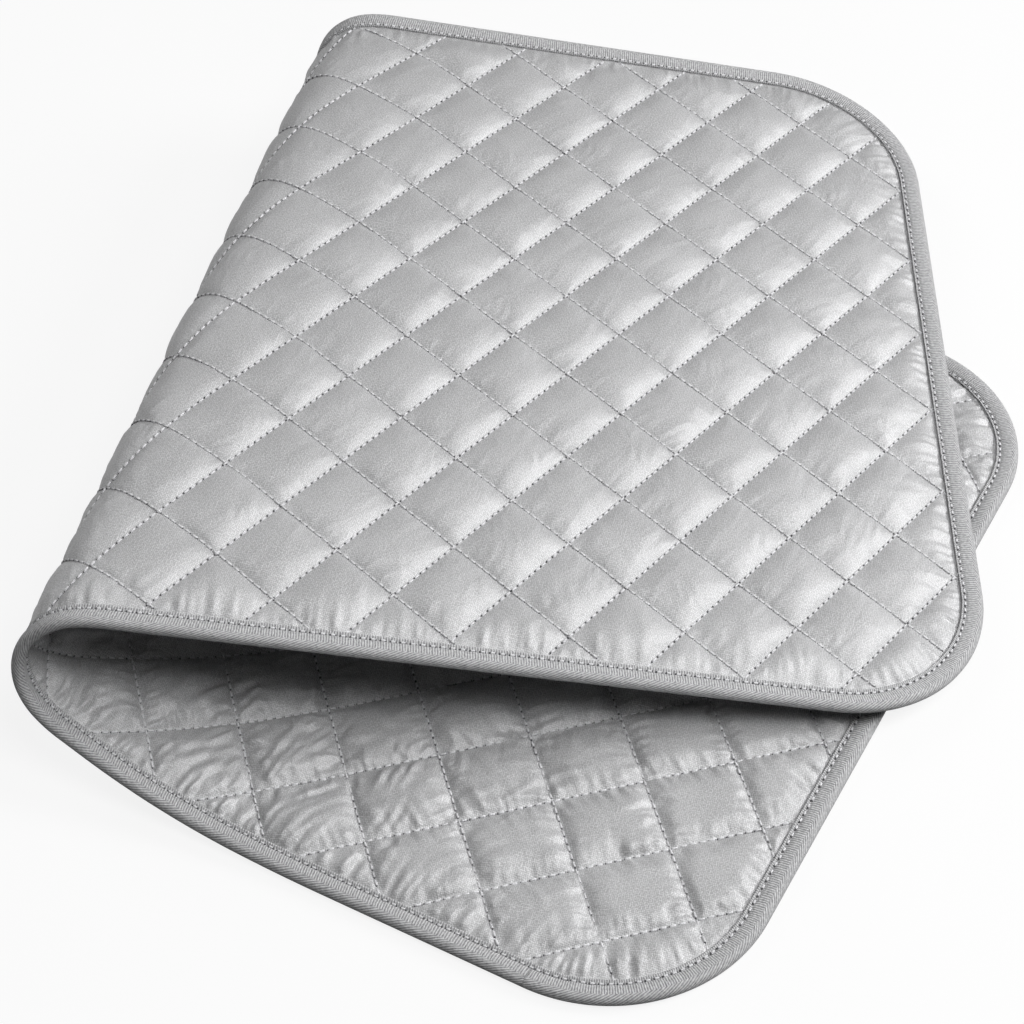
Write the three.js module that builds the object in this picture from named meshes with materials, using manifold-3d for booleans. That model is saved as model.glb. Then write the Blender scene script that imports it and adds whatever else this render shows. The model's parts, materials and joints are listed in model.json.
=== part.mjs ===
// A quilted ironing pad, folded once: two cloth covers with wadding between them and a bound edge.
// Millimetres, +Z up. It lies on the plane z = 0 with its fold along Y, on the -X side.
import * as THREE from 'three';
import { mergeVertices } from 'three/addons/utils/BufferGeometryUtils.js';
import Module from 'manifold-3d';

const wasm = await Module();
wasm.setup();

const { degToRad, smoothstep, lerp } = THREE.MathUtils;

// Pad laid flat
const PAD_LENGTH = 890;
const PAD_WIDTH = 480;
const CORNER_RADIUS = 84;
const CORNER_STEPS = 10;

// Layers: each cover is cloth with pillows standing on it, and the wadding lies between the covers
const CLOTH = 0.9;
const PILLOW_RISE = 2;
const WADDING = 1.6;
const CLEARANCE = 0.3;

// The pillows under the lower half are pressed flat on the table
const FLAT_CUT = 0.5;

// Binding: a tape folded over the edge, as wide on one face as on the other
const BINDING_WIDTH = 12;
const TAPE = 1;

// Fold: skewed to the pad's short side, and a little off the pad's middle
const FOLD_SKEW = degToRad(14.2);
const FOLD_OFFSET = 12;

// The lower half lifts off the table over some flat strips, then a loop of narrow strips turns back
const LIFT_STRIPS = 3;
const LIFT_LENGTH = 132;
const LIFT_TURN = degToRad(28);
const LOOP_STRIPS = 6;
const LOOP_RADIUS = 32;

// Quilting: two families of lines, square to each other and turned from 45 degrees to the pad's edges.
// "first" is the distance from the middle of the fold to the nearest line, as a share of the pitch.
const UPPER_QUILT = { pitch: [37.4, 45.4], turn: degToRad(5.2), first: [0.12, 0.43] };
const LOWER_QUILT = { pitch: [46, 41.2], turn: degToRad(1.8), first: [-0.23, -0.14] };
const QUILT_BLEND = 90;
const CHANNEL_STEP = 0.2;

const SILVER_CLOTH = { color: 0xb9bbbd, roughness: 0.45, metalness: 0.35 };
const BATTING = { color: 0xe9e6de, roughness: 0.95, metalness: 0 };
const WOVEN_TAPE = { color: 0x9b9c9e, roughness: 0.85, metalness: 0 };

// Depths below the outer face, which is the plane of the pillows' tops
const clothDepth = PILLOW_RISE;
const coverDepth = PILLOW_RISE + CLOTH;
const waddingDepth = coverDepth + CLEARANCE;
const padThickness = 2 * coverDepth + 2 * CLEARANCE + WADDING;
const tapeDepth = PILLOW_RISE - CLEARANCE - TAPE;
const layerInset = TAPE + CLEARANCE;
const seamInset = BINDING_WIDTH + CLEARANCE;
const beyond = PAD_LENGTH + PAD_WIDTH;

// Booleans on closed meshes
function toSolid(geometry) {
  geometry.deleteAttribute('normal');
  geometry.deleteAttribute('uv');
  const merged = mergeVertices(geometry, 1e-4);
  return new wasm.Manifold(new wasm.Mesh({
    numProp: 3,
    vertProperties: Float32Array.from(merged.attributes.position.array),
    triVerts: Uint32Array.from(merged.index.array),
  }));
}

function toGeometry(solid) {
  const mesh = solid.getMesh();
  const geometry = new THREE.BufferGeometry();
  geometry.setAttribute('position', new THREE.BufferAttribute(mesh.vertProperties, 3));
  geometry.setIndex(new THREE.BufferAttribute(mesh.triVerts, 1));
  geometry.computeVertexNormals();
  return geometry;
}

// Sheet frame: x across the fold with the lower half at -x, y along the fold, both from the fold's middle,
// and z out of the outer face. The pad's outline lies in it turned by the skew of the fold.
function padOutline(inset) {
  const left = -PAD_LENGTH / 2 - FOLD_OFFSET + inset;
  const right = PAD_LENGTH / 2 - FOLD_OFFSET - inset;
  const half = PAD_WIDTH / 2 - inset;
  const radius = CORNER_RADIUS - inset;
  const outline = new THREE.Shape();
  outline.absarc(right - radius, half - radius, radius, 0, Math.PI / 2);
  outline.absarc(left + radius, half - radius, radius, Math.PI / 2, Math.PI);
  outline.absarc(left + radius, radius - half, radius, Math.PI, 1.5 * Math.PI);
  outline.absarc(right - radius, radius - half, radius, 1.5 * Math.PI, 2 * Math.PI);
  outline.closePath();
  return outline;
}

function padLayer(inset, top, bottom) {
  const settings = { depth: bottom - top, bevelEnabled: false, curveSegments: CORNER_STEPS };
  const layer = new THREE.ExtrudeGeometry(padOutline(inset), settings);
  layer.translate(0, 0, -bottom);
  layer.rotateZ(FOLD_SKEW);
  return toSolid(layer);
}

// Crossing of line i of the first quilting family with line j of the second, on one half's pattern
function halfCrossing(quilt, i, j) {
  const [w1, w2] = [i, j].map((line, family) => (line + quilt.first[family]) * quilt.pitch[family]);
  return new THREE.Vector2(w1, w2).rotateAround(new THREE.Vector2(), FOLD_SKEW - Math.PI / 4 + quilt.turn);
}

// The two halves' patterns run into each other across the fold
function crossingAt(i, j) {
  const lower = halfCrossing(LOWER_QUILT, i, j);
  const upper = halfCrossing(UPPER_QUILT, i, j);
  const share = smoothstep((lower.x + upper.x) / 2, -QUILT_BLEND, QUILT_BLEND);
  return lower.lerp(upper, share);
}

// A blanket of four-sided pillows, one in each cell of the quilting, over a plane floor inside the cloth.
// outward is 1 where the pillows face out of the fold and -1 where they face into it.
function pillowBlanket(outward) {
  const finest = Math.min(...UPPER_QUILT.pitch, ...LOWER_QUILT.pitch);
  const reach = Math.ceil((PAD_LENGTH / 2 + PAD_WIDTH / 2 + FOLD_OFFSET) / finest);
  const rows = 2 * reach + 1;
  const face = outward > 0 ? 0 : -padThickness;
  const levels = { top: 0, channel: clothDepth - CHANNEL_STEP, floor: clothDepth + CLOTH / 2 };
  const corners = [];
  const points = [];
  const triangles = [];
  const addPoint = (place, level) => points.push(place.x, place.y, face - outward * level) / 3 - 1;
  const addTriangle = (a, b, c) => triangles.push(...(outward > 0 ? [a, b, c] : [a, c, b]));
  const addQuad = (a, b, c, d) => {
    addTriangle(a, b, c);
    addTriangle(a, c, d);
  };
  for (let i = -reach; i <= reach; i += 1) {
    for (let j = -reach; j <= reach; j += 1) {
      const place = crossingAt(i, j);
      corners.push({ place, channel: addPoint(place, levels.channel), floor: addPoint(place, levels.floor) });
    }
  }
  for (let i = 0; i < rows - 1; i += 1) {
    for (let j = 0; j < rows - 1; j += 1) {
      const n = i * rows + j;
      const cell = [n, n + rows, n + rows + 1, n + 1].map((corner) => corners[corner]);
      const middle = cell.reduce((sum, corner) => sum.add(corner.place), new THREE.Vector2());
      middle.divideScalar(cell.length);
      const crown = addPoint(middle, levels.top);
      cell.forEach((corner, side) => addTriangle(corner.channel, cell[(side + 1) % 4].channel, crown));
      addQuad(cell[3].floor, cell[2].floor, cell[1].floor, cell[0].floor);
    }
  }
  const last = rows - 1;
  const along = [...Array(rows).keys()];
  const rim = [
    ...along.map((n) => n * rows),
    ...along.slice(1).map((n) => last * rows + n),
    ...along.slice(1).map((n) => (last - n) * rows + last),
    ...along.slice(1, last).map((n) => last - n),
  ].map((n) => corners[n]);
  rim.forEach((corner, n) => {
    const next = rim[(n + 1) % rim.length];
    addQuad(corner.floor, next.floor, next.channel, corner.channel);
  });
  const blanket = new THREE.BufferGeometry();
  blanket.setAttribute('position', new THREE.BufferAttribute(Float32Array.from(points), 3));
  blanket.setIndex(triangles);
  return toSolid(blanket);
}

// The chain of strips from the lower half to the upper half, for a given slope of the upper half
function foldChain(drop) {
  const loopTurn = Math.PI - LIFT_TURN + drop;
  const loopLength = loopTurn * LOOP_RADIUS;
  const liftStep = LIFT_TURN / LIFT_STRIPS;
  const loopStep = loopTurn / LOOP_STRIPS;
  const strips = [
    ...Array(LIFT_STRIPS).fill({ length: LIFT_LENGTH / LIFT_STRIPS, step: liftStep }),
    ...Array(LOOP_STRIPS).fill({ length: loopLength / LOOP_STRIPS, step: loopStep }),
  ];
  const steps = [0, ...strips.map((strip) => strip.step), 0];
  const turns = steps.slice(1).map((step, k) => (step + steps[k]) / 2);
  return { lengths: strips.map((strip) => strip.length), turns, start: -loopLength / 2 - LIFT_LENGTH };
}

// Height of the upper half's underside over the table where the two free edges cross, seen from above
function heightAtCrossing(drop) {
  const { lengths, turns, start } = foldChain(drop);
  const hinge = new THREE.Vector2();
  let heading = Math.PI;
  lengths.forEach((length, k) => {
    heading -= turns[k];
    hinge.add(new THREE.Vector2(length, 0).rotateAround(new THREE.Vector2(), heading));
  });
  const end = start + lengths.reduce((sum, length) => sum + length);
  const lowerReach = (PAD_LENGTH / 2 + FOLD_OFFSET) / Math.cos(FOLD_SKEW) + start;
  const upperReach = (PAD_LENGTH / 2 - FOLD_OFFSET) / Math.cos(FOLD_SKEW) - end;
  const slide = Math.tan(FOLD_SKEW);
  const crossing = (hinge.x + upperReach * Math.cos(drop) - lowerReach) / (slide * (1 + Math.cos(drop)));
  return hinge.y - (upperReach - slide * crossing) * Math.sin(drop) - padThickness * Math.cos(drop);
}

// The upper half comes down until it lies on the lower half
let [shallow, steep] = [0, Math.PI / 4];
while (steep - shallow > 1e-6) {
  const middle = lerp(shallow, steep, 0.5);
  if (heightAtCrossing(middle) > padThickness + CLEARANCE) {
    shallow = middle;
  } else {
    steep = middle;
  }
}
const { lengths, turns, start } = foldChain(shallow);

// The flat pad's layers, each over its whole outline
const throughPad = [-CLEARANCE, padThickness + CLEARANCE];
const pillowField = padLayer(seamInset, ...throughPad);
const outerCloth = padLayer(layerInset, clothDepth, coverDepth);
const innerCloth = padLayer(layerInset, padThickness - coverDepth, padThickness - clothDepth);
const table = new THREE.BoxGeometry(beyond, 2 * beyond, 2 * FLAT_CUT);
table.translate(start + FLAT_CUT / Math.sin(turns[0]) - beyond / 2, 0, 0);
const tapeBlock = padLayer(0, tapeDepth, padThickness - tapeDepth);
const tapeInside = padLayer(TAPE, tapeDepth + TAPE, padThickness - tapeDepth - TAPE);
const sheets = {
  outer_cover: outerCloth.add(pillowBlanket(1).intersect(pillowField)).subtract(toSolid(table)),
  wadding: padLayer(layerInset, waddingDepth, waddingDepth + WADDING),
  inner_cover: innerCloth.add(pillowBlanket(-1).intersect(pillowField)),
  binding: tapeBlock.subtract(tapeInside).subtract(padLayer(BINDING_WIDTH, ...throughPad)),
};
const finishes = {
  outer_cover: SILVER_CLOTH,
  wadding: BATTING,
  inner_cover: SILVER_CLOTH,
  binding: WOVEN_TAPE,
};

// Room that a strip has between its two hinge lines, which lie on the outer face: its ends lean in by half
// of each turn, so that neighbours meet flat at rest and part on the inside as the pad opens
function stripRoom(from, to, turnFrom, turnTo, back, front) {
  const deep = padThickness + CLEARANCE;
  const left = from + CLEARANCE / 2;
  const right = to - CLEARANCE / 2;
  const room = new THREE.Shape();
  room.moveTo(left, CLEARANCE);
  room.lineTo(left, 0);
  room.lineTo(left + deep * Math.tan(turnFrom / 2), -deep);
  room.lineTo(right - deep * Math.tan(turnTo / 2), -deep);
  room.lineTo(right, 0);
  room.lineTo(right, CLEARANCE);
  room.closePath();
  const block = new THREE.ExtrudeGeometry(room, { depth: back - front, bevelEnabled: false });
  block.rotateX(Math.PI / 2);
  block.translate(0, back, 0);
  return toSolid(block);
}

function addPiece(group, name, sheet, room, origin) {
  const geometry = toGeometry(sheets[sheet].intersect(room));
  geometry.translate(-origin, 0, 0);
  const piece = new THREE.Mesh(geometry, new THREE.MeshStandardMaterial(finishes[sheet]));
  piece.name = name;
  group.add(piece);
}

function addLayers(group, prefix, room, origin) {
  ['outer_cover', 'wadding', 'inner_cover'].forEach((sheet) => {
    addPiece(group, `${prefix}_${sheet}`, sheet, room, origin);
  });
}

// Lower half, flat on the table with its outer face down
const pad = new THREE.Group();
const lowerHalf = new THREE.Group();
lowerHalf.rotation.y = -Math.PI;
pad.add(lowerHalf);
const lowerRoom = stripRoom(-beyond, start, 0, turns[0], beyond, -beyond);
addLayers(lowerHalf, 'lower', lowerRoom, start);
addPiece(lowerHalf, 'lower_binding', 'binding', lowerRoom, start);

// Fold strips, each hinged to the one before along its starting edge
let carrier = lowerHalf;
let edge = start;
let step = 0;
lengths.forEach((length, k) => {
  const strip = new THREE.Group();
  strip.position.x = step;
  strip.rotation.y = turns[k];
  carrier.add(strip);
  const ends = [edge, edge + length, turns[k], turns[k + 1]];
  addLayers(strip, `fold_${k + 1}`, stripRoom(...ends, beyond, -beyond), edge);
  addPiece(strip, `fold_${k + 1}_front_binding`, 'binding', stripRoom(...ends, 0, -beyond), edge);
  addPiece(strip, `fold_${k + 1}_back_binding`, 'binding', stripRoom(...ends, beyond, 0), edge);
  carrier = strip;
  edge += length;
  step = length;
});

// Upper half, hinged to the last strip
const upperHalf = new THREE.Group();
upperHalf.position.x = step;
upperHalf.rotation.y = turns[turns.length - 1];
carrier.add(upperHalf);
const upperRoom = stripRoom(edge, beyond, turns[turns.length - 1], 0, beyond, -beyond);
addLayers(upperHalf, 'upper', upperRoom, edge);
addPiece(upperHalf, 'upper_binding', 'binding', upperRoom, edge);

// Origin under the middle of the folded pad, on the table
const bounds = new THREE.Box3().setFromObject(pad, true);
const centre = bounds.getCenter(new THREE.Vector3());
pad.position.set(-centre.x, -centre.y, -bounds.min.z);

export default pad;
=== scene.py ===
import json
import math

import bmesh
import bpy
import numpy as np
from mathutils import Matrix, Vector


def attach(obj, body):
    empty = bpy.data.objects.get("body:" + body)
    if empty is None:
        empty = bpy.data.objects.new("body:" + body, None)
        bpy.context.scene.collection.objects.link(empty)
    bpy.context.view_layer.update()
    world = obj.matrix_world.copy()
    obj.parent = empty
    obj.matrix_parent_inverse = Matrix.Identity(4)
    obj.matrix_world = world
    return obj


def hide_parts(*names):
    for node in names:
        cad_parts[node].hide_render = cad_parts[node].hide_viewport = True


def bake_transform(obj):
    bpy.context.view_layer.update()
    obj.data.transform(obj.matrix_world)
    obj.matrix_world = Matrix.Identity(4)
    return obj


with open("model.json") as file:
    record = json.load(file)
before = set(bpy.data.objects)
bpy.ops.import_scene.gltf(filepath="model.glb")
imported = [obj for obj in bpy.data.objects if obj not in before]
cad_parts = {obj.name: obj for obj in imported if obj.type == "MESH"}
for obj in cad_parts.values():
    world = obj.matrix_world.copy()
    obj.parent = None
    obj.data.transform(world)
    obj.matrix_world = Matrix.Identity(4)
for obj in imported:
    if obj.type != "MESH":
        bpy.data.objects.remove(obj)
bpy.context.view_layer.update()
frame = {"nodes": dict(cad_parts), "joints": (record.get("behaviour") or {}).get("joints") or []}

# Fold
# The real pad is one flat sheet that bends everywhere along its fold, which lies askew.
# Its layers are drawn flat, in millimetres across and along the fold and deep from the outer face,
# and are then laid over the frame's hinge lines with the corners between the strips rounded off.
MM = 0.001
FOLD_SKEW = math.radians(14.2)
FOLD_OFFSET = 12.0
LIFT_STRIPS = 3
PAD_THICKNESS = 8.0
SHEET_Y = FOLD_OFFSET * math.sin(FOLD_SKEW)

hinges = np.array([joint["pos_m"] for joint in frame["joints"]])[:, [0, 2]] / MM
strips = np.diff(hinges, axis=0)
strip_lengths = np.hypot(strips[:, 0], strips[:, 1])
strip_headings = np.arctan2(strips[:, 1], -strips[:, 0])
last_turn = (strip_headings[-1] - strip_headings[-2]) / 2
headings = np.concatenate([[0], strip_headings, [strip_headings[-1] + last_turn]])
turns = np.diff(headings)
fold_start = -strip_lengths[:LIFT_STRIPS].sum() - strip_lengths[LIFT_STRIPS:].sum() / 2
hinge_places = fold_start + np.concatenate([[0], np.cumsum(strip_lengths)])
strip_middles = hinge_places[:-1] + strip_lengths / 2
roundings = np.minimum(np.append(strip_lengths, np.inf), np.insert(strip_lengths, 0, np.inf)) / 2


def along(heading):
    """The way along the pad at a heading, in the plane across the fold."""
    return np.stack([-np.cos(heading), np.sin(heading)], -1)


def outward(heading):
    """The way out of the pad's outer face at a heading."""
    return np.stack([-np.sin(heading), -np.cos(heading)], -1)


def lay(sheet):
    """Points of the flat sheet (across, along, deep) on the folded pad, in millimetres."""
    across, lengthways, deep = np.asarray(sheet, float).T
    k = np.searchsorted(strip_middles, across)
    rounding = roundings[k]
    radius = rounding / np.tan(turns[k] / 2)
    past = across - hinge_places[k]
    share = np.clip((past + rounding) / (2 * rounding), 0, 1)
    heading = headings[k] + turns[k] * share
    place = hinges[k] - rounding[:, None] * along(headings[k]) - radius[:, None] * outward(headings[k])
    place += np.minimum(past + rounding, 0)[:, None] * along(headings[k])
    place += np.maximum(past - rounding, 0)[:, None] * along(headings[k + 1])
    place += (radius - deep)[:, None] * outward(heading)
    return np.stack([place[:, 0], lengthways + SHEET_Y, place[:, 1]], -1)


# Sections of the pad
# The cloth is one piece on the real pad. It is parted here at the middle of each strip,
# so that each section spans the bend at one hinge and meets its neighbours where it is laid.
section_cuts = np.concatenate(
    [[hinge_places[0] - roundings[0]], strip_middles, [hinge_places[-1] + roundings[-1]]]
)
section_names = ["lower", *(f"bend_{k}" for k in range(1, len(turns) + 1)), "upper"]
BLEND_MARGIN = 0.4


def own_nodes(section, layer):
    """The CAD nodes that a layer's piece in a section stands for."""
    if section in ("lower", "upper"):
        return [f"{section}_{layer}"]
    strip = section.replace("bend_", "fold_")
    if layer == "binding":
        return [n for n in (f"{strip}_front_binding", f"{strip}_back_binding") if n in frame["nodes"]]
    return [n for n in (f"{strip}_{layer}",) if n in frame["nodes"]]


def carry(piece, number):
    """Hangs a piece on the frame: an end section rides with its half, and a bend section is left where
    it is laid.
    """
    if number == 0:
        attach(piece, "lower_half")
        return
    if number == len(turns) + 1:
        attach(piece, "upper_half")
        return
    k = number - 1
    reach = roundings[k] - PAD_THICKNESS * math.sin(turns[k] / 2) - BLEND_MARGIN
    ends = [(hinge_places[k] - reach, 0, 0), (hinge_places[k] + reach, 0, 0)]
    start, end = lay(ends) * MM
    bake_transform(piece)


def new_mesh(name, places, corners, sizes):
    """A smooth mesh from points, the faces' corners one after another, and each face's size."""
    mesh = bpy.data.meshes.new(name)
    mesh.vertices.add(len(places))
    mesh.vertices.foreach_set("co", np.asarray(places, np.float32).ravel())
    mesh.loops.add(len(corners))
    mesh.loops.foreach_set("vertex_index", np.asarray(corners, np.int32))
    mesh.polygons.add(len(sizes))
    starts = np.concatenate([[0], np.cumsum(sizes)[:-1]])
    mesh.polygons.foreach_set("loop_start", np.asarray(starts, np.int32))
    mesh.polygons.foreach_set("use_smooth", np.ones(len(sizes), bool))
    mesh.update(calc_edges=True)
    return mesh


# What lies on the table is pressed flat there, with a soft edge to the flat
TABLE_EASE, TABLE_SOFTNESS = 1.0 * MM, 0.12 * MM


def pressed(height):
    above = 0.5 * (height + np.sqrt(height**2 + TABLE_SOFTNESS**2))
    return above * np.clip(height / TABLE_EASE + 1, 0, 1)


def make_sections(name, sheet, corners, sizes, uv, material, layer, section_of=None):
    """Lays a flat mesh on the fold and parts it into one object for each section.

    The normals come from the whole mesh, so that the shading runs on from section to section.
    Returns each section's object and which faces are its own.
    """
    starts = np.concatenate([[0], np.cumsum(sizes)[:-1]])
    if section_of is None:
        middles = np.add.reduceat(sheet[corners, 0], starts) / sizes
        section_of = np.searchsorted(section_cuts, middles)
    places = lay(sheet) * MM
    places[:, 2] = np.where(places[:, 2] < TABLE_EASE, pressed(places[:, 2]), places[:, 2])
    whole = new_mesh(name + "_whole", places, corners, sizes)
    normals = np.zeros(len(places) * 3, np.float32)
    whole.vertex_normals.foreach_get("vector", normals)
    normals = normals.reshape(-1, 3)
    bpy.data.meshes.remove(whole)
    made = []
    for number, section in enumerate(section_names):
        faces = section_of == number
        loops = np.repeat(faces, sizes)
        used, local = np.unique(corners[loops], return_inverse=True)
        mesh = new_mesh(f"{name}_{section}", places[used], local, sizes[faces])
        layer_uv = mesh.uv_layers.new(name="cut")
        layer_uv.data.foreach_set("uv", (uv[corners[loops]] * MM).astype(np.float32).ravel())
        mesh.normals_split_custom_set_from_vertices(normals[used])
        mesh.materials.append(material)
        piece = bpy.data.objects.new(f"{name}_{section}", mesh)
        bpy.context.scene.collection.objects.link(piece)
        if layer:
            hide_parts(*own_nodes(section, layer))
        carry(piece, number)
        made.append((piece, faces))
    return made


# Quilting pattern
# Two families of straight seams cross at right angles, sewn corner to corner over the whole pad.
# Each half's pattern was measured on the photograph, and one runs into the other across the fold.
PAD_LENGTH, PAD_WIDTH, CORNER_RADIUS = 890.0, 480.0, 84.0
UPPER_QUILT = {"pitch": (37.4, 45.4), "turn": math.radians(5.2), "first": (0.12, 0.43)}
LOWER_QUILT = {"pitch": (46.0, 41.2), "turn": math.radians(1.8), "first": (-0.23, -0.14)}
QUILT_BLEND = 90.0
SEAM_GAP = 40.0
SEAMS_EACH_WAY = 14


def smooth(share):
    share = np.clip(share, 0, 1)
    return share * share * (3 - 2 * share)


def half_crossing(quilt, a, b):
    """Where two seams would cross in one half's pattern."""
    first, second = [(line + f) * p for line, f, p in zip((a, b), quilt["first"], quilt["pitch"])]
    angle = FOLD_SKEW - math.pi / 4 + quilt["turn"]
    return np.stack(
        [
            first * math.cos(angle) - second * math.sin(angle),
            first * math.sin(angle) + second * math.cos(angle),
        ],
        -1,
    )


def crossing(a, b):
    """Where seam a of the first family would cross seam b of the second, on the flat sheet."""
    lower, upper = half_crossing(LOWER_QUILT, a, b), half_crossing(UPPER_QUILT, a, b)
    middle = (lower[..., :1] + upper[..., :1]) / 2
    return lower + (upper - lower) * smooth((middle + QUILT_BLEND) / (2 * QUILT_BLEND))


def to_pad(across, lengthways):
    """Sheet to pad: along the pad's length and across its width, from its middle."""
    c, s = math.cos(FOLD_SKEW), math.sin(FOLD_SKEW)
    return across * c + lengthways * s + FOLD_OFFSET, lengthways * c - across * s


def to_sheet(u, v):
    """Pad to sheet, the other way."""
    c, s = math.cos(FOLD_SKEW), math.sin(FOLD_SKEW)
    return (u - FOLD_OFFSET) * c - v * s, (u - FOLD_OFFSET) * s + v * c


CORE_U, CORE_V = PAD_LENGTH / 2 - CORNER_RADIUS, PAD_WIDTH / 2 - CORNER_RADIUS


def edge_place(across, lengthways):
    """How far inside the pad's edge a point is, and how far round the edge its nearest point is."""
    u, v = to_pad(across, lengthways)
    cu, cv = np.clip(u, -CORE_U, CORE_U), np.clip(v, -CORE_V, CORE_V)
    outside = np.hypot(u - cu, v - cv)
    within = np.minimum(CORE_U - np.abs(u), CORE_V - np.abs(v))
    inset = CORNER_RADIUS - np.where(outside > 0, outside, -within)
    turn = (np.arctan2(v - cv, u - cu) + math.pi / 2) % (2 * math.pi)
    there = (cu + CORE_U) + (cv + CORE_V)
    back = 2 * (CORE_U + CORE_V) + (CORE_U - cu) + (CORE_V - cv)
    return inset, CORNER_RADIUS * turn + np.where(turn < math.pi - 1e-9, there, back)


# Covers
# Two sheets of cotton with an aluminium-filled coating, one outside and one inside the fold.
# The seams draw the cloth down to the wadding, so that it stands in pillows between them,
# with gathers at right angles to the seams and a few longer creases across the pillows.
CELL_STEPS = 36
COVER_INSET = 1.6
SEAM_DEPTH = 3.5
INNER_CROWN, END_CROWN = 2.4, 0.5
CLOSE_FROM, CLOSE_OVER = 290.0, 80.0
BINDING_WIDTH = 12.0
FOLD_CROWN, FOLD_REACH = 5.0, 55.0
PILLOW_RISE, CROWN_RANGE, CROWN_LEAN, CROWN_SOFTNESS = 4.9, (0.86, 1.06), 0.25, 0.3
GATHER_STEP, GATHER_SLANT, PULL_SLANT = 0.5, 0.45, 0.3
GAP_RANGE, WIDTH_RANGE, HEIGHT_RANGE = (0.45, 1.7), (0.6, 1.5), (0.25, 1)
RIDGE_SHARE, FURROW_SHARE = 0.7, 0.8
CREASE_SPACING, CREASE_WOBBLE, CREASE_BOW, CREASE_STAGGER = 2.8, 0.2, 0.25, 0.3
TAPE_EDGE, TAPE_RISE, RISE_POWER = 12.3, 18, 1.7
WRINKLE_STEEPNESS, PULL_STEEPNESS = 1.5, 2.5
LOWEST_HEIGHT = -0.3
OUTER_SEED, INNER_SEED = 11, 23
GRID_STEP = min(*UPPER_QUILT["pitch"], *LOWER_QUILT["pitch"]) / CELL_STEPS

line_steps = SEAMS_EACH_WAY * CELL_STEPS
lines = np.arange(-line_steps, line_steps + 1) / CELL_STEPS
grid_a, grid_b = np.meshgrid(lines, lines, indexing="ij")
grid = crossing(grid_a, grid_b)
grid_inset, grid_round = edge_place(grid[..., 0], grid[..., 1])
in_cover = grid_inset > COVER_INSET
rows, columns = np.flatnonzero(in_cover.any(1)), np.flatnonzero(in_cover.any(0))
crop = np.s_[
    rows[0] // CELL_STEPS * CELL_STEPS : (rows[-1] // CELL_STEPS + 1) * CELL_STEPS + 1,
    columns[0] // CELL_STEPS * CELL_STEPS : (columns[-1] // CELL_STEPS + 1) * CELL_STEPS + 1,
]
grid_a, grid_b, grid, in_cover = grid_a[crop], grid_b[crop], grid[crop], in_cover[crop]
grid_inset, grid_round = grid_inset[crop], grid_round[crop]

spread = np.pad(in_cover, 1)
near_cover = np.zeros_like(in_cover)
for di in range(3):
    for dj in range(3):
        near_cover |= spread[di : di + in_cover.shape[0], dj : dj + in_cover.shape[1]]
rim = near_cover & ~in_cover
rim_u, rim_v = to_pad(grid[rim][:, 0], grid[rim][:, 1])
core_u, core_v = np.clip(rim_u, -CORE_U, CORE_U), np.clip(rim_v, -CORE_V, CORE_V)
shrink = (CORNER_RADIUS - COVER_INSET) / np.hypot(rim_u - core_u, rim_v - core_v)
rim_sheet = to_sheet(core_u + (rim_u - core_u) * shrink, core_v + (rim_v - core_v) * shrink)
grid[rim] = np.stack(rim_sheet, -1)


def gathers(rng, length, gap, width, height):
    """Heights along a seam at even steps: ridges and furrows of uneven spacing, width and height."""
    places = np.arange(0, length + 1, GATHER_STEP)
    centres = np.cumsum(gap * rng.uniform(*GAP_RANGE, int(length / gap * 1.1) + 2))
    widths = width * rng.uniform(*WIDTH_RANGE, len(centres))
    heights = height * rng.uniform(*HEIGHT_RANGE, len(centres))
    heights = heights * np.where(rng.random(len(centres)) < RIDGE_SHARE, 1, -FURROW_SHARE)
    return (np.exp(-(((places[:, None] - centres) / widths) ** 2)) * heights).sum(1)


def gathered(row, places):
    """The heights of a row of gathers at any places along it."""
    return np.interp(places, np.arange(len(row)) * GATHER_STEP, row)


def gather_fade(away, peak):
    """How high a gather stands away from its seam: nothing at the seam, and most at the peak."""
    return away / peak * np.exp(1 - away / peak)


def add_seam_gathers(height, rng, kinds):
    """Gathers on both sides of every seam; kinds are (gap, width, height, where they stand highest)."""
    step = SEAM_GAP / CELL_STEPS
    reach = CELL_STEPS // 2
    for family in (0, 1):
        field = height if family == 0 else height.T
        length = field.shape[1] * step
        places = np.arange(field.shape[1]) * step
        for seam in range(0, field.shape[0], CELL_STEPS):
            for side in (-1, 1):
                for gap, width, rise, peak in kinds:
                    row = gathers(rng, length, gap, width, rise)
                    slant = rng.uniform(-GATHER_SLANT, GATHER_SLANT)
                    for away in range(1, reach):
                        line = seam + side * away
                        if 0 <= line < field.shape[0]:
                            shift = gathered(row, places + slant * away * step)
                            field[line] += shift * gather_fade(away * step, peak)


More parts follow.
